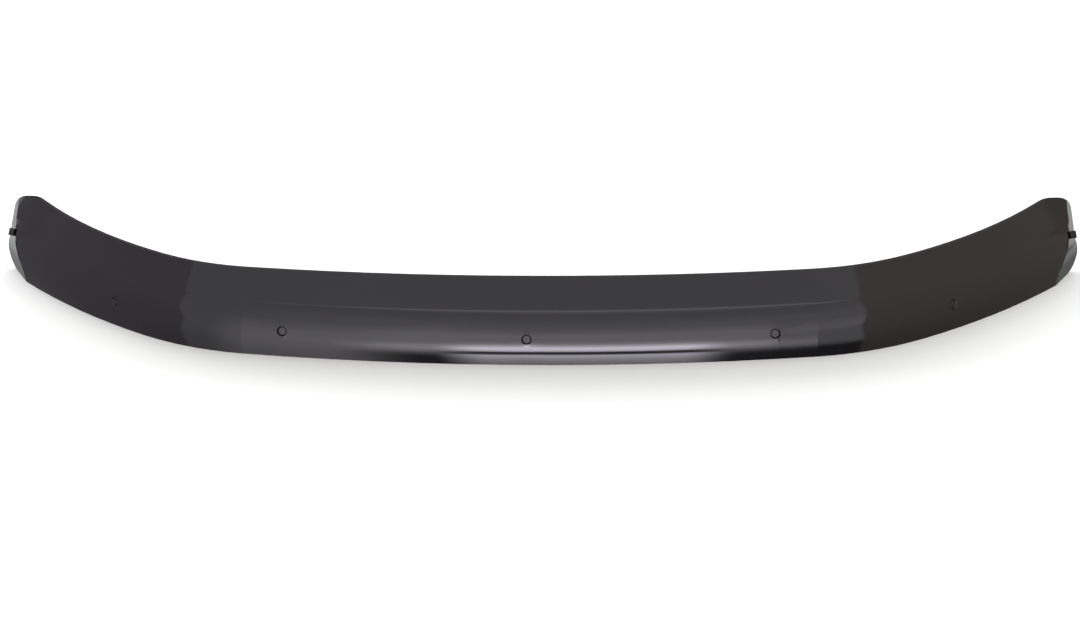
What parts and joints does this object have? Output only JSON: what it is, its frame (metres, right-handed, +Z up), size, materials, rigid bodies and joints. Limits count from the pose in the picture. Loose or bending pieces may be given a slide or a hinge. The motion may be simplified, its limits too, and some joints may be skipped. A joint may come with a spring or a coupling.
{
  "type": "hood bug deflector",
  "caption": "Dark smoke acrylic shield that follows the front edge of a vehicle hood, with a kicked-up lip, swept end faces, rubber bump pads and end clips.",
  "frame": {"origin": "under the middle of the whole part, on the plane of the shield's lower edge", "axes": "X along the shield across the vehicle, -Y towards the front of the vehicle, +Z up"},
  "size_m": [1.3994, 0.275, 0.0924],
  "materials": {
    "smoke_acrylic": "clear dark smoke, polished",
    "bump_rubber": "matt moulded",
    "adhesive_foam": "white foam tape",
    "clip_steel": "black powder coat",
    "liner_rubber": "matt sheet",
    "zinc_steel": "zinc plated",
    "shoe_nylon": "moulded nylon"
  },
  "bodies": {
    "root": {"deflector_shield": "smoke_acrylic", "bumper_centre": "bump_rubber", "adhesive_centre": "adhesive_foam", "bumper_inner_left": "bump_rubber", "adhesive_inner_left": "adhesive_foam", "bumper_inner_right": "bump_rubber", "adhesive_inner_right": "adhesive_foam", "bumper_outer_left": "bump_rubber", "adhesive_outer_left": "adhesive_foam", "bumper_outer_right": "bump_rubber", "adhesive_outer_right": "adhesive_foam", "end_clip_left": "clip_steel", "clip_liner_left": "liner_rubber", "clip_nut_left": "zinc_steel", "clip_screw_left": "zinc_steel", "clip_shoe_left": "shoe_nylon", "end_clip_right": "clip_steel", "clip_liner_right": "liner_rubber", "clip_nut_right": "zinc_steel", "clip_screw_right": "zinc_steel", "clip_shoe_right": "shoe_nylon"}
  },
  "joints": []
}
